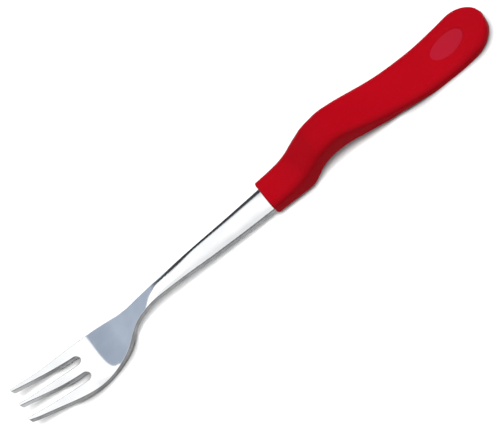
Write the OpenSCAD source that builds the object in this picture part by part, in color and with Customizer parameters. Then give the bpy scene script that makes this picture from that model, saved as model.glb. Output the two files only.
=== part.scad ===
// Table fork with three tines and a cranked moulded handle.
//
// Two real pieces: a one-piece stamped steel fork, whose tang runs on
// inside the handle, and a plastic handle moulded around that tang.
//
// Frame: millimetres, +Z up. The fork lies on a bench, concave side up,
// touching it under the head and under the tail of the handle. +X runs
// from the tine tips to the end of the handle, and the origin is the
// middle of the footprint on the bench. Stations along the fork are
// counted from the tine tips and written u.

/* [Overall] */
// Length from the tine tips to the end of the handle
overall_l = 200; // [190:1:210]

/* [Fork head] */
// Widest part of the head
head_w = 20.8; // [19:0.2:22.4]
// Width over the three tine tips
tip_w = 15; // [14:0.2:16]
// Height of the upper face at the tine tips above the bench
tip_rise = 10.8; // [9:0.2:12]
// Thickness of the steel sheet
sheet_t = 2; // [1.6:0.1:2.2]
// Depth of the slots between the tines, from the tips
slot_len = 24; // [20:0.5:26]
// Width of a slot at its round end
slot_w = 3.5; // [3:0.1:3.7]
// How far the slots sit off the centre line, towards the far side
slot_shift = 0.35; // [0:0.05:0.5]
// Corner radius of the blunt tine tips
tip_r = 0.55; // [0.3:0.05:0.55]

/* [Stem and tang] */
// Narrowest part of the neck
neck_w = 5.8; // [5:0.1:6.5]
// Width of the stem where it enters the handle
stem_w = 11; // [9:0.2:11.4]
// Height of the upper face at the top of the neck
neck_rise = 8.7; // [8.2:0.1:9.4]
// Width of the tang inside the handle
tang_w = 8; // [7:0.2:9]
// Length of the tang inside the handle
tang_l = 40; // [36:1:44]
// Diameter of the two keying holes through the tang
key_hole_d = 3.2; // [2:0.2:4]

/* [Handle] */
// Length of the moulded handle
handle_l = 93.2; // [91:0.2:95]
// Width of the handle at its front face
front_w = 13; // [12.6:0.2:14]
// Width of the handle at its broad tail
tail_w = 19.8; // [18:0.2:21]
// Height of the hump of the handle above the bench
hump_rise = 15.8; // [15:0.1:16.6]
// Edge radius along the upper sides of the handle
edge_r = 2.5; // [1.5:0.1:3]
// Edge radius along the underside of the handle
under_r = 0.7; // [0.4:0.1:1]
// How much the middle of the upper face stands proud of its edges
crown = 0.3; // [0:0.05:0.4]
// Length of the shallow oval panel in the tail
panel_l = 14; // [10:0.5:15]
// Width of the oval panel
panel_w = 8.4; // [6:0.2:9]
// Depth of the oval panel
panel_depth = 0.3; // [0.1:0.05:0.5]

/* [Hidden] */

// Every station is written for a 200 mm fork and stretched with the length.
kx = overall_l / 200;
front_u = 200 - handle_l;
root_u = slot_len - slot_w / 2;      // centre of the round slot ends
slot_y = 3.8;                        // centre line of a slot at its end
tang_u = front_u + tang_l;

// Half width of the blank from the tips to the handle
blank_half = [[0, tip_w / 2], [3, 8], [6, 8.3], [10, 8.75], [15, 9.5],
    [20, head_w / 2 - 0.25], [24, head_w / 2], [28, head_w / 2 - 0.2],
    [32, head_w / 2 - 0.85], [36, 8.55], [40, 7.1], [44, 5.1], [48, 3.65],
    [52, neck_w / 2 + 0.25], [57, neck_w / 2], [64, neck_w / 2 + 0.35],
    [80, (neck_w + stem_w) / 4 + 0.1], [106, stem_w / 2],
    [front_u + 3, stem_w / 2]];

// Height of the upper face of the sheet from the tips to the tang's end
form_top = [[0, tip_rise], [4, 0.8 * tip_rise + 0.25], [8, 7.2], [12, 5.7],
    [16, 4.4], [20, 3.25], [24, 2.45], [27, sheet_t + 0.1], [29, sheet_t + 0.01],
    [31, sheet_t + 0.06], [33, sheet_t + 0.24], [36, sheet_t + 0.6],
    [39, sheet_t + 1.2], [42, 4.3], [46, 6.2], [50, neck_rise - 1.1],
    [55, neck_rise - 0.15], [60, neck_rise], [70, neck_rise - 0.4],
    [80, 7.4], [90, 6.6], [100, 6], [107, 5.75], [114, 5.9], [118, 6.45],
    [122, 7.65], [126, 9.6], [130, 11.5], [134, 12.5], [138, 12.4],
    [142, 11.6], [152, 8.6]];

// Half width of the middle tine, and inner edge of the outer tines
mid_half = [[0, 0.65], [3, 0.75], [6, 1.05], [9, 1.35], [12, 1.65],
    [16, 1.9], [root_u, slot_y - slot_w / 2]];
outer_in = [[0, tip_w / 2 - 1.3], [3, 6.15], [12, 5.85],
    [root_u, slot_y + slot_w / 2]];
// Offset of the slots from the centre line, nearly nothing at the tips
inner_shift = [[0, 0.3 * slot_shift], [10, slot_shift], [30, slot_shift]];

// Half width, upper face and underside of the handle
grip_half = [[front_u, front_w / 2], [112, front_w / 2 + 0.05], [118, 6.7],
    [124, 6.95], [130, 6.95], [136, 6.95], [141, 7.15], [146, 7.65],
    [152, 8.1], [160, 8.5], [168, tail_w / 2 - 0.8],
    [176, tail_w / 2 - 0.4], [184, tail_w / 2], [200, tail_w / 2]];
grip_top = [[front_u, 9.45], [112, 9.4], [117, 9.65], [121, 10.6],
    [124, 12.05], [127, 13.5], [130, hump_rise - 0.9],
    [134, hump_rise - 0.15], [138, hump_rise], [142, hump_rise - 1.1],
    [146, 12.95], [150, 11.1], [155, 8.95], [160, 7.2], [166, 5.5],
    [172, 4.35], [178, 3.75], [184, 3.7], [190, 4.4], [200, 5.6]];
grip_bottom = [[front_u, 3.5], [110, 3.15], [114, 2.85], [118, 2.6],
    [121, 2.6], [122.5, 2.9], [125, 4.5], [127.5, 6.3], [130, 7.4],
    [134, 8], [138, 7.75], [142, 7], [146, 6], [150, 5], [155, 3.55],
    [160, 2.55], [166, 1.35], [172, 0.1], [176, -0.1], [184, -0.1],
    [190, 0.4], [200, 1.7]];

end_l = 10.4;          // length of the round end of the handle
front_r = 0.6;       // rounding of the front face, top and sides
lip_r = 1;           // rounding of the front face, underside
tail_r = 1.3;        // rounding of the end, top and underside

// ---- smooth curve through a table of [station, value] ----
function slope(t, i) = let (a = max(i - 1, 0), b = min(i + 1, len(t) - 1))
    (t[b][1] - t[a][1]) / (t[b][0] - t[a][0]);
function span(t, x, i = 0) = x > t[i + 1][0] ? span(t, x, i + 1) : i;
function hermite(p, q, m, n, h, s) =
    (2 * s * s * s - 3 * s * s + 1) * p + (s * s * s - 2 * s * s + s) * h * m
    + (3 * s * s - 2 * s * s * s) * q + (s * s * s - s * s) * h * n;
function curve(t, x) =
    x <= t[0][0] ? t[0][1] :
    x >= t[len(t) - 1][0] ? t[len(t) - 1][1] :
    let (i = span(t, x), h = t[i + 1][0] - t[i][0])
    hermite(t[i][1], t[i + 1][1], slope(t, i), slope(t, i + 1), h,
        (x - t[i][0]) / h);

// How far a rounding of radius r draws the edge in, at distance d from its end
function inset(r, d) = d >= r ? 0 : r - sqrt(max(0, r * r - (r - d) * (r - d)));
// Station u to the row's x
function px(u) = (u - 100) * kx;

// ---- steel fork: a flat blank outline, formed to a side profile ----
// Half width of the blank, stepping down from the stem to the tang
function blank(u) = let (s = front_u + 3, e = tang_u)
    u < s ? curve(blank_half, u) :
    u < s + 2 ? stem_w / 2 - (stem_w - tang_w) / 2 * (1 - cos(90 * (u - s))) / 2 :
    tang_w / 2 - inset(2, e - u);

function down(a, b, d) = [for (u = [b:-d:a + d / 2]) u];
function up(a, b, d) = [for (u = [a:d:b - d / 2]) u];
// Stations across a blunt tine tip, tip first
tip_us = [for (a = [0:15:75]) tip_r * (1 - cos(a))];
tang_end_us = [for (a = [0:15:90]) tang_u - 2 + 2 * sin(a)];
edge_us = concat(tip_us, up(tip_r, 50, 1.05), up(50, front_u + 3, 2.9),
    up(front_u + 3, front_u + 5.01, 0.4), up(front_u + 6, tang_u - 2.5, 6),
    tang_end_us);
slot_us = concat(tip_us, up(tip_r, root_u, 1.2), [root_u]);
function back(l) = [for (i = [len(l) - 1:-1:0]) l[i]];

function outer_line(side) = [for (u = edge_us)
    [px(u), side * (blank(u) - inset(tip_r, u))]];
function outer_inner_line(side) = [for (u = slot_us)
    [px(u), side * (curve(outer_in, u) + inset(tip_r, u)) + curve(inner_shift, u)]];
function mid_line(side) = [for (u = slot_us)
    [px(u), side * (curve(mid_half, u) - inset(tip_r, u)) + curve(inner_shift, u)]];
function slot_arc(side) = [for (a = [75:-15:-75])
    [px(root_u) + slot_w / 2 * cos(a), side * (slot_y + slot_w / 2 * sin(a)) + slot_shift]];

module blank_outline() {
    polygon(concat(
        back(outer_line(1)), outer_inner_line(1), slot_arc(1),
        back(mid_line(1)), mid_line(-1), back(slot_arc(-1)),
        back(outer_inner_line(-1)), outer_line(-1)));
}

// Side profile of the formed sheet, thickness measured square to the sheet
form_us = concat([for (u = [-1:1.25:60]) u], [for (u = [61:3:front_u]) u],
    [for (u = [front_u + 1:1.5:tang_u + 2]) u]);
function top_z(u) = u < 0 ? tip_rise + slope(form_top, 0) * u : curve(form_top, u);
function under(u) = let (m = (top_z(u + 0.25) - top_z(u - 0.25)) / 0.5,
    n = sqrt(1 + m * m)) [px(u) + sheet_t * m / n, top_z(u) - sheet_t / n];

module side_profile() {
    polygon(concat([for (u = form_us) [px(u), top_z(u)]],
        back([for (u = form_us) under(u)])));
}

module steel_fork() {
    color([0.8, 0.81, 0.83])
    difference() {
        intersection() {
            translate([0, 0, -2]) linear_extrude(height = 20) blank_outline();
            translate([0, 15, 0]) rotate([90, 0, 0]) linear_extrude(height = 30) side_profile();
        }
        for (u = [front_u + 10.5, tang_u - 5])
            translate([px(u), 0, -2]) cylinder(h = 20, d = key_hole_d, $fn = 48);
    }
}

// ---- handle: rounded sections swept along the crank ----
function end_scale(u) = u <= 200 - end_l ? 1 :
    let (t = (u - 200 + end_l) / end_l) sqrt(max(0, 1 - t * t));
// [half width, top, underside, upper and lower corner radius] of the section at u
function section(u) = let (
    f = u - front_u, e = 200 - u,
    a = curve(grip_half, u) * end_scale(u) - inset(front_r, f),
    t = curve(grip_top, u) - inset(front_r, f) - inset(tail_r, e),
    b = curve(grip_bottom, u) + inset(lip_r, f) + inset(tail_r, e),
    r = max(0.05, min(edge_r, 0.68 * (t - b - crown), 0.9 * a)),
    k = max(0.05, min(under_r, 0.26 * (t - b - crown), 0.9 * a)))
    [a, t, b, r, k];
corner_steps = 6;
top_steps = 5;
// Height lost towards the edges by the crown of the upper face
function fall(y, a) = crown * pow(y / a, 2) * min(1, a / 6);
function ring(u) = let (s = section(u), a = s[0], t = s[1], b = s[2], r = s[3], k = s[4]) concat(
    [for (i = [0:corner_steps]) let (q = 90 * i / corner_steps, y = a - r + r * cos(q))
        [y, t - r + r * sin(q) - fall(y, a)]],
    [for (i = [1:top_steps - 1]) let (y = (a - r) * (1 - 2 * i / top_steps))
        [y, t - fall(y, a)]],
    [for (i = [0:corner_steps]) let (q = 90 * i / corner_steps, y = -(a - r) - r * sin(q))
        [y, t - r + r * cos(q) - fall(y, a)]],
    [for (i = [0:corner_steps]) let (q = 90 * i / corner_steps)
        [-(a - k) - k * cos(q), b + k - k * sin(q)]],
    [for (i = [0:corner_steps]) let (q = 90 * i / corner_steps)
        [a - k + k * sin(q), b + k - k * cos(q)]]);
grip_us = concat([for (q = [0:15:90]) front_u + lip_r * (1 - cos(q))],
    up(front_u + lip_r + 1.5, 200 - end_l, 1.8),
    [for (q = [0:7.5:82.5]) 200 - end_l + end_l * sin(q)], [199.99]);
ring_n = 4 * (corner_steps + 1) + top_steps - 1;

module grip_body() {
    last = len(grip_us) - 1;
    points = [for (i = [0:last]) for (p = ring(grip_us[i]))
        [i == last ? px(200) : px(grip_us[i]), p[0], p[1]]];
    polyhedron(points, concat(
        [[for (j = [0:ring_n - 1]) j]],
        [[for (j = [ring_n - 1:-1:0]) last * ring_n + j]],
        [for (i = [0:last - 1]) for (j = [0:ring_n - 1]) let (k = (j + 1) % ring_n)
            [i * ring_n + j, (i + 1) * ring_n + j, (i + 1) * ring_n + k]],
        [for (i = [0:last - 1]) for (j = [0:ring_n - 1]) let (k = (j + 1) % ring_n)
            [i * ring_n + j, (i + 1) * ring_n + k, i * ring_n + k]]), convexity = 6);
}

// Plain oval panel, a shallow dip in the upper face of the tail
panel_u = 184.5;
module panel_cut() {
    z = curve(grip_top, panel_u) - panel_depth;
    translate([px(panel_u), 0, z]) linear_extrude(height = 3)
        polygon([for (a = [0:7.5:352.5]) [panel_l / 2 * cos(a), panel_w / 2 * sin(a)]]);
}

module handle() {
    color([0.74, 0.05, 0.1])
    difference() {
        intersection() {
            grip_body();
            // the tail is flat where it rests on the bench
            translate([-120, -20, 0]) cube([240, 40, 30]);
        }
        steel_fork();
        panel_cut();
    }
}

steel_fork();
handle();
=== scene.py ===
"""Table fork: a stamped steel fork whose tang runs inside a cranked moulded handle.

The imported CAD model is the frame. Both CAD nodes are replaced by finer meshes
that follow the same tables as the design: the sheet gets rounded, polished
edges and the handle its soft mould radii, and each gets its own material.
Lengths in the tables are millimetres; u is the distance from the tine tips.
"""
import math

import bmesh
import bpy
import numpy as np
from mathutils import Matrix, Vector
from mathutils.geometry import delaunay_2d_cdt


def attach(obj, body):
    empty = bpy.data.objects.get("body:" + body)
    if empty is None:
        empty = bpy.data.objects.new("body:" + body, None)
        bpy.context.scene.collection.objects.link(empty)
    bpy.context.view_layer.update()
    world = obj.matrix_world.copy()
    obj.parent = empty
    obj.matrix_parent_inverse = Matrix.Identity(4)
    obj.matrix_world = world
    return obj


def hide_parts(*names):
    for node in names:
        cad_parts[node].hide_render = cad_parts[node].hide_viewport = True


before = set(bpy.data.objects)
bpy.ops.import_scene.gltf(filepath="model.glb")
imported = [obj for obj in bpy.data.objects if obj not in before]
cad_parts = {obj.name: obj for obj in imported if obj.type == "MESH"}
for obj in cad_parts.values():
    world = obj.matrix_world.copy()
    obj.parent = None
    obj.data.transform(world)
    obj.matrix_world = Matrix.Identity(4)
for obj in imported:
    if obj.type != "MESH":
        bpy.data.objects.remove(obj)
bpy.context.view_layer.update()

MM = 0.001

# --------------------------------------------------------------- design tables
TIP_W, HEAD_W, NECK_W, STEM_W, TANG_W = 15.0, 20.78, 5.8, 11.0, 8.0
SHEET_T, SLOT_LEN, SLOT_W, SLOT_Y, SLOT_SHIFT, TIP_R = 2.0, 24.0, 3.5, 3.8, 0.35, 0.55
FRONT_U, TANG_L, KEY_D = 106.8, 40.0, 3.2
TANG_U = FRONT_U + TANG_L
ROOT_U = SLOT_LEN - SLOT_W / 2
KEY_US = (FRONT_U + 10.5, TANG_U - 5)

BLANK_HALF = [(0, TIP_W / 2), (3, 8), (6, 8.3), (10, 8.75), (15, 9.5),
    (20, HEAD_W / 2 - .25), (24, HEAD_W / 2), (28, HEAD_W / 2 - .2),
    (32, HEAD_W / 2 - .85), (36, 8.55), (40, 7.1), (44, 5.1), (48, 3.65),
    (52, NECK_W / 2 + .25), (57, NECK_W / 2), (64, NECK_W / 2 + .35),
    (80, (NECK_W + STEM_W) / 4 + .1), (106, STEM_W / 2), (FRONT_U + 3, STEM_W / 2)]
FORM_TOP = [(0, 10.8), (4, 8.89), (8, 7.2), (12, 5.7), (16, 4.4), (20, 3.25),
    (24, 2.45), (27, 2.1), (29, 2.01), (31, 2.06), (33, 2.24), (36, 2.6),
    (39, 3.2), (42, 4.3), (46, 6.2), (50, 7.6), (55, 8.55), (60, 8.7), (70, 8.3),
    (80, 7.4), (90, 6.6), (100, 6), (107, 5.75), (114, 5.9), (118, 6.45),
    (122, 7.65), (126, 9.6), (130, 11.5), (134, 12.5), (138, 12.4), (142, 11.6),
    (152, 8.6)]
MID_HALF = [(0, .65), (3, .75), (6, 1.05), (9, 1.35), (12, 1.65), (16, 1.9),
    (ROOT_U, SLOT_Y - SLOT_W / 2)]
OUTER_IN = [(0, TIP_W / 2 - 1.3), (3, 6.15), (12, 5.85), (ROOT_U, SLOT_Y + SLOT_W / 2)]
INNER_SHIFT = [(0, .3 * SLOT_SHIFT), (10, SLOT_SHIFT), (30, SLOT_SHIFT)]

FRONT_W, TAIL_W, HUMP, EDGE_R, UNDER_R, CROWN = 13.0, 19.8, 15.77, 2.5, .7, .3
GRIP_HALF = [(FRONT_U, FRONT_W / 2), (112, FRONT_W / 2 + .05), (118, 6.7),
    (124, 6.95), (130, 6.95), (136, 6.95), (141, 7.15), (146, 7.65), (152, 8.1),
    (160, 8.5), (168, TAIL_W / 2 - .8), (176, TAIL_W / 2 - .4),
    (184, TAIL_W / 2), (200, TAIL_W / 2)]
GRIP_TOP = [(FRONT_U, 9.45), (112, 9.4), (117, 9.65), (121, 10.6), (124, 12.05),
    (127, 13.5), (130, HUMP - .9), (134, HUMP - .15), (138, HUMP),
    (142, HUMP - 1.1), (146, 12.95), (150, 11.1), (155, 8.95), (160, 7.2),
    (166, 5.5), (172, 4.35), (178, 3.75), (184, 3.7), (190, 4.4), (200, 5.6)]
GRIP_BOTTOM = [(FRONT_U, 3.5), (110, 3.15), (114, 2.85), (118, 2.6), (121, 2.6),
    (122.5, 2.9), (125, 4.5), (127.5, 6.3), (130, 7.4), (134, 8), (138, 7.75),
    (142, 7), (146, 6), (150, 5), (155, 3.55), (160, 2.55), (166, 1.35),
    (172, .1), (176, -.1), (184, -.1), (190, .4), (200, 1.7)]
END_L, FRONT_R, LIP_R, TAIL_R = 10.4, 0.6, 1.0, 1.3
PANEL_U, PANEL_L, PANEL_W, PANEL_D = 184.5, 14.0, 8.4, .3


def curve(tab, x):
    """Smooth curve through a table of (station, value)."""
    n = len(tab)
    if x <= tab[0][0]:
        return tab[0][1]
    if x >= tab[-1][0]:
        return tab[-1][1]
    i = 0
    while x > tab[i + 1][0]:
        i += 1

    def slope(k):
        a, b = max(k - 1, 0), min(k + 1, n - 1)
        return (tab[b][1] - tab[a][1]) / (tab[b][0] - tab[a][0])

    h = tab[i + 1][0] - tab[i][0]
    s = (x - tab[i][0]) / h
    return ((2 * s**3 - 3 * s**2 + 1) * tab[i][1] + (s**3 - 2 * s**2 + s) * h * slope(i)
            + (3 * s**2 - 2 * s**3) * tab[i + 1][1] + (s**3 - s**2) * h * slope(i + 1))


def inset(r, d):
    return 0.0 if d >= r else r - math.sqrt(max(0.0, r * r - (r - d) ** 2))


def smooth(a, b, x):
    t = min(1.0, max(0.0, (x - a) / (b - a)))
    return t * t * (3 - 2 * t)


# ---------------------------------------------------------------- steel sheet
def top_z(u):
    if u < 0:
        return FORM_TOP[0][1] + (FORM_TOP[1][1] - FORM_TOP[0][1]) / 4 * u
    return curve(FORM_TOP, u)


_us = np.arange(-3.0, TANG_U + 4, 0.05)
_tz = np.array([top_z(u) for u in _us])
# a light smoothing, so that the polished face has no visible joints
_k = np.exp(-np.linspace(-2.2, 2.2, 37) ** 2); _k /= _k.sum()
_tz = np.convolve(np.pad(_tz, 18, mode="reflect", reflect_type="odd"), _k, "valid")
_m = np.gradient(_tz, _us)
_n = np.sqrt(1 + _m * _m)
_bx, _bz = _us + SHEET_T * _m / _n, _tz - SHEET_T / _n


def sheet_top(u):
    return float(np.interp(u, _us, _tz))


def sheet_under(u):
    return max(0.0, float(np.interp(u, _bx, _bz)))


def sheet_slope(u):
    return float(np.interp(u, _us, _m))


def blank(u):
    s = FRONT_U + 3
    if u < s:
        return curve(BLANK_HALF, u)
    if u < s + 2:
        return STEM_W / 2 - (STEM_W - TANG_W) / 2 * (1 - math.cos(math.radians(90 * (u - s)))) / 2
    return TANG_W / 2 - inset(2, TANG_U - u)


def crown_drop(u, y):
    """How far the polished face falls away from its middle line: a crowned stem and neck, a nearly flat head."""
    h = blank(min(u, FRONT_U + 2.9))
    q = min(1.15, abs(y) / h)
    neck, stem = smooth(43, 54, u) * (1 - .8 * smooth(56, 62, u) if y > 0 else .75 - .1 * smooth(57, 65, u)), smooth(58, 63, u)
    head = smooth(10, 24, u) * smooth(39, 31, u) if y < 0 else .0
    n = 11 if y < 0 else 11 - 4.5 * smooth(80, 70, u)       # the far side of the stem rounds off sooner near the neck
    return h * (.08 * neck * q ** 2 / 2 + .6 * stem * q ** n / n + head * (.008 * q ** 2 / 2 + .055 * q ** 6 / 6))


def face_z(u, y, side):
    if side > 0:
        return sheet_top(u) - crown_drop(u, y)
    return max(0.0, sheet_under(u) + .3 * crown_drop(u, y))


def face_normal(u, y, side):
    e = .03
    du = (face_z(u + e, y, side) - face_z(u - e, y, side)) / (2 * e)
    dy = (face_z(u, y + e, side) - face_z(u, y - e, side)) / (2 * e)
    return Vector((-du * side, -dy * side, side)).normalized()


def spaced(a, b, d):
    n = max(1, int(round((b - a) / d)))
    return [a + (b - a) * i / n for i in range(n + 1)]


def outline():
    """The blank's outline, anticlockwise seen from above, as dense points."""
    tip = [TIP_R * (1 - math.cos(math.radians(a))) for a in range(0, 90, 10)]
    edge = (tip + spaced(TIP_R, 60, .4) + spaced(60.5, FRONT_U + 3, .7)
            + spaced(FRONT_U + 3.2, FRONT_U + 5, .2) + spaced(FRONT_U + 5.6, TANG_U - 2.2, .7)
            + [TANG_U - 2 + 2 * math.sin(math.radians(a)) for a in range(0, 91, 10)])
    slot = tip + spaced(TIP_R, ROOT_U, .4)
    rnd = lambda u: inset(TIP_R, u)
    sh = lambda u: curve(INNER_SHIFT, u)
    arc = [math.radians(a) for a in range(80, -81, -10)]
    pts = []
    # far side, tang to tip, runs backwards so that the whole loop is anticlockwise
    pts += [(u, blank(u) - rnd(u)) for u in edge[::-1]]
    pts += [(u, curve(OUTER_IN, u) + rnd(u) + sh(u)) for u in slot]
    pts += [(ROOT_U + SLOT_W / 2 * math.cos(a), SLOT_Y + SLOT_W / 2 * math.sin(a) + SLOT_SHIFT) for a in arc]
    pts += [(u, curve(MID_HALF, u) - rnd(u) + sh(u)) for u in slot[::-1]]
    pts += [(u, -curve(MID_HALF, u) + rnd(u) + sh(u)) for u in slot]
    pts += [(ROOT_U + SLOT_W / 2 * math.cos(a), -SLOT_Y - SLOT_W / 2 * math.sin(a) + SLOT_SHIFT) for a in arc[::-1]]
    pts += [(u, -curve(OUTER_IN, u) - rnd(u) + sh(u)) for u in slot[::-1]]
    pts += [(u, -blank(u) + rnd(u)) for u in edge]
    out = [pts[0]]
    for p in pts[1:]:
        if math.dist(p, out[-1]) > 0.02:
            out.append(p)
    if math.dist(out[0], out[-1]) < 0.02:
        out.pop()
    return out


def loop_normals(loop):
    """Unit normals that point into the metal, for an anticlockwise loop."""
    p = np.array(loop)
    a, b = np.roll(p, 1, axis=0), np.roll(p, -1, axis=0)
    d1, d2 = p - a, b - p
    d1 /= np.linalg.norm(d1, axis=1)[:, None]
    d2 /= np.linalg.norm(d2, axis=1)[:, None]
    t = d1 + d2
    t /= np.linalg.norm(t, axis=1)[:, None]
    return np.stack([-t[:, 1], t[:, 0]], axis=1)


def edge_radius(u, y):
    """Polished edge of the sheet: crisp at the head and the near side, softer along the far side of the stem."""
    return 0.26 + 0.18 * smooth(40, 62, u) * (y > 0)


def make_steel():
    loops = [outline()]
    for u in KEY_US:   # keying holes, clockwise
        loops.append([(u + KEY_D / 2 * math.cos(-a), KEY_D / 2 * math.sin(-a))
                      for a in np.linspace(0, 2 * math.pi, 48, endpoint=False)])
    K = 5
    th = [math.pi / 2 * k / K for k in range(K + 1)]
    verts, norms, faces, mats = [], [], [], []

    def put(u, y, side, w, nd, nw):
        """Point at depth w under the broad face of that side; nd is the outward share of its normal and nw the face's share."""
        verts.append(((u - 100) * MM, y * MM, (face_z(u, y, side) - side * w) * MM))
        norms.append((Vector((nd[0], nd[1], 0)) + face_normal(u, y, side) * nw).normalized())
        return len(verts) - 1

    rims = {1: [], -1: []}
    for loop in loops:
        nin = loop_normals(loop)
        hole = loop is not loops[0]
        rows = []
        for side in (1, -1):
            part = []
            for k in range(K + 1):
                row = []
                for (u, y), n in zip(loop, nin):
                    r = 0.25 if hole else edge_radius(u, y)
                    d = r * (1 - math.cos(th[k]))
                    w = r * (1 - math.sin(th[k]))
                    c = math.cos(th[k])
                    row.append(put(u + n[0] * d, y + n[1] * d, side, w, (-n[0] * c, -n[1] * c), math.sin(th[k])))
                part.append(row)
            rows.append(part)
        # from the upper face's rim down over the edge to the lower rim
        seq = rows[0][::-1] + rows[1]
        N = len(loop)
        for k, (r0, r1) in enumerate(zip(seq[:-1], seq[1:])):
            wall = 1 if 3 <= k < 2 * K else 0
            for i in range(N):
                j = (i + 1) % N
                faces.append((r0[i], r0[j], r1[j], r1[i])[::-1]); mats.append(wall)
        rims[1].append(rows[0][K]); rims[-1].append(rows[1][K])
    # the two broad faces: a regular field of points inside the rims
    for side in (1, -1):
        ids = [i for rim in rims[side] for i in rim]
        pts = [Vector((verts[i][0] / MM + 100, verts[i][1] / MM)) for i in ids]
        segs, at = [], 0
        for rim in rims[side]:
            segs += [(at + i, at + (i + 1) % len(rim)) for i in range(len(rim))]
            at += len(rim)
        ring = np.array([[p.x, p.y] for p in pts])
        field = []
        for i, u in enumerate(spaced(0.4, TANG_U - .4, .75)):
            h = blank(u)
            for y in np.arange(-math.ceil(h), math.ceil(h) + .01, .75) + (0.375 if i % 2 else 0):
                if inside(u, y) and np.min(np.hypot(ring[:, 0] - u, ring[:, 1] - y)) > 0.33:
                    field.append(Vector((u, y)))
        n0 = len(pts)
        vv, ee, ff, ov, oe, of = delaunay_2d_cdt(pts + field, segs, [], 1, 1e-5)
        index = []
        for q, orig in zip(vv, ov):
            o = [k for k in orig if k < n0]
            index.append(ids[o[0]] if o else put(q.x, q.y, side, 0, (0, 0), 1))
        for f in ff:
            if any(all(math.dist(vv[i], (u, 0)) < KEY_D / 2 + .26 for i in f) for u in KEY_US):
                continue
            tri = [index[i] for i in f]
            a, b, cc = (Vector(verts[i]) for i in tri[:3])
            up = (b - a).cross(cc - a).z
            if up * side < 0:
                tri.reverse()
            faces.append(tuple(tri)); mats.append(0)
    me = bpy.data.meshes.new("steel_fork_polished")
    me.from_pydata(verts, [], faces)
    me.polygons.foreach_set("material_index", mats)
    me.polygons.foreach_set("use_smooth", [True] * len(faces))
    me.update()
    me.normals_split_custom_set_from_vertices(norms)
    ob = bpy.data.objects.new("steel_fork_polished", me)
    bpy.context.scene.collection.objects.link(ob)
    return ob


def inside(u, y):
    """Is (u, y) in the blank, clear of the slots?"""
    if u < 0.2 or u > TANG_U - .2 or abs(y) > blank(u) - .3:
        return False
    if any(math.dist((u, y), (k, 0)) < KEY_D / 2 + .55 for k in KEY_US):
        return False
    if u < ROOT_U:
        s = curve(INNER_SHIFT, u)
        return abs(y - s) < curve(MID_HALF, u) - .3 or abs(y - s) > curve(OUTER_IN, u) + .3
    for yc in (SLOT_Y + SLOT_SHIFT, -SLOT_Y + SLOT_SHIFT):
        if math.hypot(u - ROOT_U, y - yc) < SLOT_W / 2 + .3:
            return False
    return True


# --------------------------------------------------------------------- handle
def section(u):
    f, e = u - FRONT_U, 200 - u
    s = 1.0
    if u > 200 - END_L:
        t = (u - 200 + END_L) / END_L
        s = math.sqrt(max(0.0, 1 - t * t))
    a = curve(GRIP_HALF, u) * s - inset(FRONT_R, f)
    t = curve(GRIP_TOP, u) - inset(FRONT_R, f) - inset(TAIL_R, e)
    b = curve(GRIP_BOTTOM, u) + inset(LIP_R, f) + inset(TAIL_R, e)
    r = max(.03, min(EDGE_R, .68 * (t - b - CROWN), .9 * a))
    return a, t, b, r, max(.02, min(UNDER_R, .26 * (t - b - CROWN), .9 * a))


def fall(y, a):
    return CROWN * (y / a) ** 2 * min(1, a / 6)


def grip_ring(u, nc=12, nt=64, nb=16, ns=4):
    a, t, b, r, k = section(u)
    low = t - r - fall(a, a)
    out = []
    for i in range(nc + 1):
        q = math.radians(90 * i / nc); y = a - r + r * math.cos(q)
        out.append((y, t - r + r * math.sin(q) - fall(y, a)))
    for i in range(1, nt):
        y = (a - r) * (1 - 2 * i / nt)
        rho = math.hypot((u - PANEL_U) / (PANEL_L / 2), y / (PANEL_W / 2))
        out.append((y, t - fall(y, a) - PANEL_D * smooth(1.04, .93, rho) if rho < 1.04 else t - fall(y, a)))
    for i in range(nc + 1):
        q = math.radians(90 * i / nc); y = -(a - r) - r * math.sin(q)
        out.append((y, t - r + r * math.cos(q) - fall(y, a)))
    for i in range(1, ns):
        out.append((-a, low + (b + k - low) * i / ns))
    for i in range(nc + 1):
        q = math.radians(90 * i / nc)
        out.append((-(a - k) - k * math.cos(q), b + k - k * math.sin(q)))
    for i in range(1, nb):
        out.append(((a - k) * (-1 + 2 * i / nb), b))
    for i in range(nc + 1):
        q = math.radians(90 * i / nc)
        out.append((a - k + k * math.sin(q), b + k - k * math.cos(q)))
    for i in range(1, ns):
        out.append((a, b + k + (low - b - k) * i / ns))
    return [(y, max(0.0, z)) for y, z in out]


def make_grip():
    us = ([FRONT_U + FRONT_R * (1 - math.cos(math.radians(q))) for q in range(0, 90, 9)]
          + spaced(FRONT_U + FRONT_R, FRONT_U + 3, .25)[:-1] + spaced(FRONT_U + 3, 174, .6)[:-1]
          + spaced(174, 189, .22)[:-1]
          + [189 + END_L * math.sin(math.radians(q)) for q in np.arange(0, 45, 1.2)]
          + [189 + END_L * math.sin(math.radians(q)) for q in np.arange(45, 87.5, 3)])
    us = [u for i, u in enumerate(us) if i == 0 or u - us[i - 1] > .01] + [199.99]
    rings = [grip_ring(u) for u in us]
    N = len(rings[0])
    verts = []
    for u, ring in zip(us, rings):
        x = 200 if u == us[-1] else u
        verts += [((x - 100) * MM, y * MM, z * MM) for y, z in ring]
    faces = [(i * N + j, (i + 1) * N + j, (i + 1) * N + (j + 1) % N, i * N + (j + 1) % N)[::-1]
             for i in range(len(us) - 1) for j in range(N)]
    faces.append(tuple(range(N))[::-1])
    faces.append(tuple(range((len(us) - 1) * N, len(us) * N)))
    me = bpy.data.meshes.new("handle_moulded")
    me.from_pydata(verts, [], faces)
    me.update()
    bm = bmesh.new(); bm.from_mesh(me)
    bmesh.ops.recalc_face_normals(bm, faces=bm.faces)
    bm.to_mesh(me); bm.free()
    ob = bpy.data.objects.new("handle_moulded", me)
    bpy.context.scene.collection.objects.link(ob)
    return ob


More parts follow.
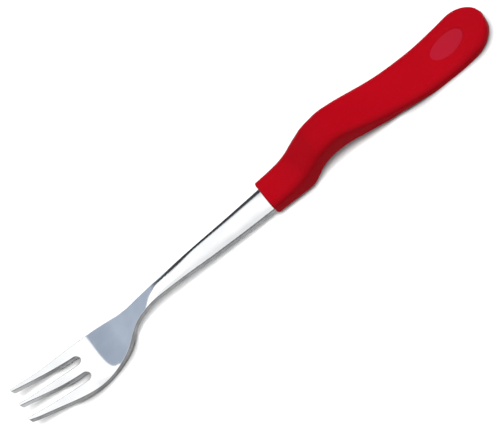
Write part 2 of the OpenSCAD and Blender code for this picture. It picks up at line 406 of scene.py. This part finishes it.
def cut(ob, tool):
    """ob minus tool, as new mesh data."""
    mod = ob.modifiers.new("cut", "BOOLEAN")
    mod.operation, mod.solver, mod.object = "DIFFERENCE", "EXACT", tool
    dg = bpy.context.evaluated_depsgraph_get()
    new = bpy.data.meshes.new_from_object(ob.evaluated_get(dg))
    ob.modifiers.clear()
    bm = bmesh.new(); bm.from_mesh(new)
    bmesh.ops.remove_doubles(bm, verts=bm.verts, dist=2e-6)
    bmesh.ops.holes_fill(bm, edges=[e for e in bm.edges if e.is_boundary], sides=8)
    bm.to_mesh(new); bm.free()
    old = ob.data
    ob.data = new
    new.name = old.name
    bpy.data.meshes.remove(old)


steel = make_steel()
grip = make_grip()
cut(grip, steel)
grip.data.polygons.foreach_set("use_smooth", [True] * len(grip.data.polygons))
grip.data.set_sharp_from_angle(angle=math.radians(38))
grip.data.update()
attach(steel, "root")
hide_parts("steel_fork")
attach(grip, "root")
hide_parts("handle")


# ------------------------------------------------------------------ materials
class Nodes:
    """A small helper that wires a node tree."""

    def __init__(self, name):
        self.mat = bpy.data.materials.new(name)
        self.mat.use_nodes = True
        self.t = self.mat.node_tree
        self.t.nodes.clear()
        self.out = self.add("ShaderNodeOutputMaterial")
        self.bsdf = self.add("ShaderNodeBsdfPrincipled")
        self.wire(self.bsdf, "BSDF", self.out, "Surface")
        self.co = self.add("ShaderNodeTexCoord")

    def add(self, kind, **values):
        n = self.t.nodes.new(kind)
        for k, v in values.items():
            setattr(n, k, v)
        return n

    def wire(self, a, out, b, inp):
        self.t.links.new(a.outputs[out], b.inputs[inp])

    def mapped(self, scale, turn=(0, 0, 0)):
        m = self.add("ShaderNodeMapping")
        m.inputs["Scale"].default_value = scale
        m.inputs["Rotation"].default_value = turn
        self.wire(self.co, "Object", m, "Vector")
        return m

    def noise(self, scale, detail=3.0, rough=0.55, size=1.0, turn=(0, 0, 0)):
        m = self.mapped(scale, turn)
        n = self.add("ShaderNodeTexNoise")
        n.inputs["Scale"].default_value = size
        n.inputs["Detail"].default_value = detail
        n.inputs["Roughness"].default_value = rough
        self.wire(m, "Vector", n, "Vector")
        return n

    def ramp(self, src, out, lo, hi, a, b):
        """src's value from lo..hi to a..b, clamped."""
        r = self.add("ShaderNodeMapRange")
        r.clamp = True
        for k, v in (("From Min", lo), ("From Max", hi), ("To Min", a), ("To Max", b)):
            r.inputs[k].default_value = v
        self.wire(src, out, r, "Value")
        return r

    def mix(self, fac, a, b):
        m = self.add("ShaderNodeMix", data_type="RGBA")
        m.inputs["A"].default_value = (*a, 1)
        m.inputs["B"].default_value = (*b, 1)
        self.t.links.new(fac.outputs[0], m.inputs["Factor"])
        return m

    def math(self, op, a, b):
        m = self.add("ShaderNodeMath", operation=op)
        for i, v in enumerate((a, b)):
            if isinstance(v, (int, float)):
                m.inputs[i].default_value = v
            else:
                self.t.links.new(v.outputs[0], m.inputs[i])
        return m

    def bumps(self, *layers):
        """layers are (node, strength, distance in metres)."""
        last = None
        for src, strength, dist in layers:
            b = self.add("ShaderNodeBump")
            b.inputs["Strength"].default_value = strength
            b.inputs["Distance"].default_value = dist
            self.t.links.new(src.outputs[0], b.inputs["Height"])
            if last:
                self.wire(last, "Normal", b, "Normal")
            last = b
        self.wire(last, "Normal", self.bsdf, "Normal")


def steel_material():
    """Polished stainless sheet with a faint lengthwise buffing grain and fine hairline scratches."""
    m = Nodes("polished_steel")
    b = m.bsdf
    b.inputs["Metallic"].default_value = 1.0
    grain = m.noise((110, 5200, 5200), detail=4)
    cloud = m.noise((60, 90, 90), detail=2)
    hair = m.noise((240, 9000, 9000), detail=1, rough=.4, turn=(0, 0, .35))
    hair2 = m.noise((300, 8000, 8000), detail=1, rough=.4, turn=(0, 0, -.5))
    c = m.mix(m.ramp(cloud, "Fac", .35, .65, 0, 1), (.73, .742, .755), (.85, .855, .86))
    m.wire(c, "Result", b, "Base Color")
    r = m.ramp(grain, "Fac", .3, .7, .03, .06)
    r2 = m.ramp(cloud, "Fac", .3, .7, -.01, .015)
    m.t.links.new(m.math("ADD", r, r2).outputs[0], b.inputs["Roughness"])
    h1 = m.ramp(hair, "Fac", .70, .78, 0, 1)
    h2 = m.ramp(hair2, "Fac", .72, .80, 0, 1)
    m.bumps((grain, .05, 2e-6), (h1, .10, 3e-6), (h2, .10, 3e-6))
    return m.mat


def sheared_material():
    """The stamped wall of the sheet: ground, with short upright marks, and duller than the face; its colour is also
    darkened as painted shade, so the edges show a dark outline.
    """
    m = Nodes("ground_steel_edge_painted_shade")
    b = m.bsdf
    b.inputs["Metallic"].default_value = 1.0
    up = m.noise((4200, 4200, 300), detail=3)
    cloud = m.noise((300, 300, 300), detail=2)
    # painted shade: the wall colour is much darker than the face's, partly the duller ground finish and partly
    # painted shade for the dark outline along the edges
    c = m.mix(m.ramp(cloud, "Fac", .35, .65, 0, 1), (.19, .193, .195), (.25, .253, .255))
    # painted reflection: the walls of the two slots are painted lighter than the outer walls, the same ground steel
    # with a brighter colour there
    at = m.add("ShaderNodeSeparateXYZ")
    m.wire(m.co, "Object", at, "Vector")
    aside = m.add("ShaderNodeMath", operation="ABSOLUTE")
    m.wire(at, "Y", aside, 0)
    slot = m.math("MULTIPLY", m.ramp(aside, "Value", .0072, .0064, 0, 1), m.ramp(at, "X", -.060, -.066, 0, 1))
    slot_wall_painted_light = m.mix(slot, (.19, .193, .195), (.42, .425, .43))
    m.wire(c, "Result", slot_wall_painted_light, "A")
    m.wire(slot_wall_painted_light, "Result", b, "Base Color")
    r = m.ramp(up, "Fac", .3, .7, .26, .38)
    m.t.links.new(r.outputs[0], b.inputs["Roughness"])
    m.bumps((up, .18, 1.2e-5))
    return m.mat


def plastic_material():
    """Satin moulded plastic: crimson, with the mould's fine spark grain, rubbed smoother along the edges."""
    m = Nodes("satin_red_plastic")
    b = m.bsdf
    b.inputs["Metallic"].default_value = 0.0
    b.inputs["IOR"].default_value = 1.49
    b.inputs["Specular IOR Level"].default_value = 0.05
    spark = m.noise((5200, 5200, 5200), detail=2, rough=.6)
    swirl = m.noise((38, 90, 90), detail=3, rough=.5)
    fine = m.noise((900, 900, 900), detail=2)
    rub = m.noise((160, 1900, 1900), detail=2, rough=.5, turn=(0, 0, .12))
    # oval panel: the same plastic, a little paler
    off = m.add("ShaderNodeMapping")
    off.inputs["Location"].default_value = (-(PANEL_U - 100) * MM / (PANEL_L / 2 * MM), 0, 0)
    off.inputs["Scale"].default_value = (1 / (PANEL_L / 2 * MM), 1 / (PANEL_W / 2 * MM), 0)
    m.wire(m.co, "Object", off, "Vector")
    ln = m.add("ShaderNodeVectorMath", operation="LENGTH")
    m.wire(off, "Vector", ln, 0)
    oval = m.ramp(ln, "Value", .93, .98, 1, 0)
    base = m.mix(m.ramp(swirl, "Fac", .32, .68, 0, 1), (.425, .0010, .0072), (.46, .0016, .0085))
    speck = m.add("ShaderNodeMix", data_type="RGBA")
    speck.inputs["B"].default_value = (.44, .006, .018, 1)
    m.t.links.new(m.ramp(fine, "Fac", .5, .8, 0, .35).outputs[0], speck.inputs["Factor"])
    m.t.links.new(base.outputs["Result"], speck.inputs["A"])
    pale = m.add("ShaderNodeMix", data_type="RGBA")
    pale.inputs["B"].default_value = (.47, .014, .036, 1)
    m.t.links.new(m.math("MULTIPLY", oval, .75).outputs[0], pale.inputs["Factor"])
    m.t.links.new(speck.outputs["Result"], pale.inputs["A"])
    m.wire(pale, "Result", b, "Base Color")
    geo = m.add("ShaderNodeNewGeometry")
    edge = m.ramp(geo, "Pointiness", .51, .56, 0, -.07)
    r = m.ramp(swirl, "Fac", .3, .7, .40, .47)
    r2 = m.ramp(rub, "Fac", .62, .78, 0, -.05)
    m.t.links.new(m.math("ADD", m.math("ADD", r, r2), edge).outputs[0], b.inputs["Roughness"])
    m.bumps((spark, .22, 3e-5), (fine, .10, 4e-5), (rub, .05, 1e-5))
    return m.mat


def floor_material():
    m = Nodes("pale_paper_floor")
    b = m.bsdf
    b.inputs["Roughness"].default_value = .85
    b.inputs["Specular IOR Level"].default_value = .2
    n = m.noise((900, 900, 900), detail=2)
    w = m.noise((6, 6, 6), detail=2)
    c = m.mix(m.ramp(w, "Fac", .3, .7, 0, 1), (.87, .87, .872), (.885, .885, .887))
    # painted contact shadow: the paper's colour is darkened into a narrow dark line where something stands close over
    # it, found by ambient occlusion
    near = m.add("ShaderNodeAmbientOcclusion", samples=12)
    near.inputs["Distance"].default_value = .0032
    painted_contact_shadow = m.mix(m.ramp(near, "AO", .46, .90, 0, 1), (.36, .36, .362), (1, 1, 1))
    both = m.add("ShaderNodeMix", data_type="RGBA", blend_type="MULTIPLY")
    both.inputs["Factor"].default_value = 1.0
    m.wire(c, "Result", both, "A")
    m.wire(painted_contact_shadow, "Result", both, "B")
    m.wire(both, "Result", b, "Base Color")
    m.bumps((n, .05, 2e-5))
    return m.mat


steel.data.materials.append(steel_material())
steel.data.materials.append(sheared_material())
grip.data.materials.clear()
grip.data.materials.append(plastic_material())

# ---------------------------------------------------------------------- stage
bm = bmesh.new()
bmesh.ops.create_circle(bm, cap_ends=True, radius=6.0, segments=96)
me = bpy.data.meshes.new("floor")
bm.to_mesh(me); bm.free()
floor = bpy.data.objects.new("floor", me)
floor.location = (0, 0, -2e-5)
bpy.context.scene.collection.objects.link(floor)
floor.data.materials.append(floor_material())


def lamp(name, towards, angle, strength, receivers):
    """A big soft lamp far away in the direction towards; it shapes only receivers and isn't itself mirrored."""
    d = bpy.data.lights.new(name, "SUN")
    d.angle, d.energy = math.radians(angle), strength
    o = bpy.data.objects.new(name, d)
    o.rotation_mode = "QUATERNION"
    o.rotation_quaternion = Vector(towards).to_track_quat("Z", "Y")
    o.location = Vector(towards).normalized()
    o.visible_glossy = False
    bpy.context.scene.collection.objects.link(o)
    group = bpy.data.collections.new(name + "_on")
    for r in receivers:
        group.objects.link(r)
    o.light_linking.receiver_collection = group
    return o


lamp("floor_key", (.10, -.46, 1), 25, 3.75, [floor])
lamp("floor_fill", (0, .05, 1), 150, 1.3, [floor])
lamp("handle_key", (.29, .24, .90), 24, 2.62, [grip])
lamp("handle_fill", (0, -1, .26), 140, 1.82, [grip])
lamp("handle_back", (-.25, 1, .1), 90, .4, [grip])
floor.visible_diffuse = False


# The room that the polished steel mirrors: a long white softbox above and
# behind the fork, whose far edge runs at 19 degrees to it, then a blue-grey
# wall on the left, a dark one on the right, and a dark band near the floor.
class World:
    def __init__(self):
        self.w = bpy.data.worlds.new("studio")
        bpy.context.scene.world = self.w
        self.w.use_nodes = True
        self.t = self.w.node_tree
        self.t.nodes.clear()

    def add(self, kind, **values):
        n = self.t.nodes.new(kind)
        for k, v in values.items():
            setattr(n, k, v)
        return n

    def put(self, n, i, v):
        if isinstance(v, (int, float)):
            n.inputs[i].default_value = v
        elif isinstance(v, tuple):
            n.inputs[i].default_value = (*v, 1)
        else:
            self.t.links.new(v, n.inputs[i])

    def op(self, kind, a, b=0.0):
        n = self.add("ShaderNodeMath", operation=kind)
        self.put(n, 0, a); self.put(n, 1, b)
        return n.outputs[0]

    def step(self, v, lo, hi):
        """0 below lo, 1 above hi, smooth between."""
        n = self.add("ShaderNodeMapRange", interpolation_type="SMOOTHSTEP")
        self.put(n, "Value", v)
        for k, x in (("From Min", lo), ("From Max", hi), ("To Min", 0.0), ("To Max", 1.0)):
            n.inputs[k].default_value = x
        return n.outputs[0]

    def mix(self, f, a, b):
        n = self.add("ShaderNodeMix", data_type="RGBA")
        self.put(n, 0, f); self.put(n, 6, a); self.put(n, 7, b)
        return n.outputs[2]


W = World()
direction = W.add("ShaderNodeTexCoord").outputs["Generated"]
axes = W.add("ShaderNodeSeparateXYZ")
W.t.links.new(direction, axes.inputs[0])
ax, ay, az = axes.outputs
hz = W.op("MAXIMUM", az, .03)
gx, gy = W.op("DIVIDE", ax, hz), W.op("DIVIDE", ay, hz)
past = W.op("SUBTRACT", gy, W.op("MULTIPLY", gx, .35))     # height of a direction over the softbox's slant
room = W.mix(W.step(gx, -.20, -.12), (.43, .50, .61), (.06, .063, .067))
room = W.mix(W.step(gx, -1.3, -.35), (.50, .575, .68), room)
room = W.mix(W.step(ay, -.25, .10), (.30, .31, .325), room)
room = W.mix(W.op("MAXIMUM", W.step(az, .28, .46), W.step(gx, -.5, -.9)), (.03, .032, .036), room)
low = W.mix(W.step(gx, .02, .14), (1.04, 1.045, 1.05), (1.17, 1.175, 1.175))
box = W.mix(W.step(past, .60, .72), low, (1.32, 1.32, 1.31))
fade = W.op("MULTIPLY", W.step(past, .77, .85), W.step(gx, -.10, -.05))
box = W.mix(fade, box, (.50, .52, .54))
edge = W.op("MULTIPLY", W.step(past, -.05, .15), W.step(past, .855, .849))
edge = W.op("MULTIPLY", edge, W.step(az, .25, .35))
room = W.mix(edge, room, box)
seen = W.add("ShaderNodeLightPath").outputs["Is Camera Ray"]
room = W.mix(seen, room, (.99, .99, .99))
back = W.add("ShaderNodeBackground")
W.t.links.new(room, back.inputs[0])
W.t.links.new(back.outputs[0], W.add("ShaderNodeOutputWorld").inputs[0])
W.w.cycles_visibility.diffuse = False

# --------------------------------------------------------------------- camera
A_PIC = math.radians(39.868)
back = Vector((0.083, -0.596, 0.799)).normalized()
e1 = Vector((1, 0, 0)); e1 = (e1 - e1.dot(back) * back).normalized()
e2 = e1.cross(back)
if e2.y > 0:
    e2 = -e2
tilt = -0.028
ex = e1 * math.cos(tilt) - e2 * math.sin(tilt)
ey = e1 * math.sin(tilt) + e2 * math.cos(tilt)
right = ex * math.cos(A_PIC) + ey * math.sin(A_PIC)
up = ex * math.sin(A_PIC) - ey * math.cos(A_PIC)
target = Vector((-0.304, 0, 4.02)) * MM
dist = 0.804
cam = bpy.data.objects.new("camera", bpy.data.cameras.new("camera"))
cam.data.sensor_width = 36
cam.data.lens = 3.04 * 800 / 500 * 36
cam.data.clip_start, cam.data.clip_end = .01, 50
cam.matrix_world = Matrix.Translation(target + back * dist) @ Matrix((right, up, back)).transposed().to_4x4()
cam.data.shift_x = -(252.6 - 250) / 500
cam.data.shift_y = (214.8 - 216) / 500
bpy.context.scene.collection.objects.link(cam)
bpy.context.scene.camera = cam

bpy.context.scene.view_settings.view_transform = "Standard"
bpy.context.scene.view_settings.look = "None"
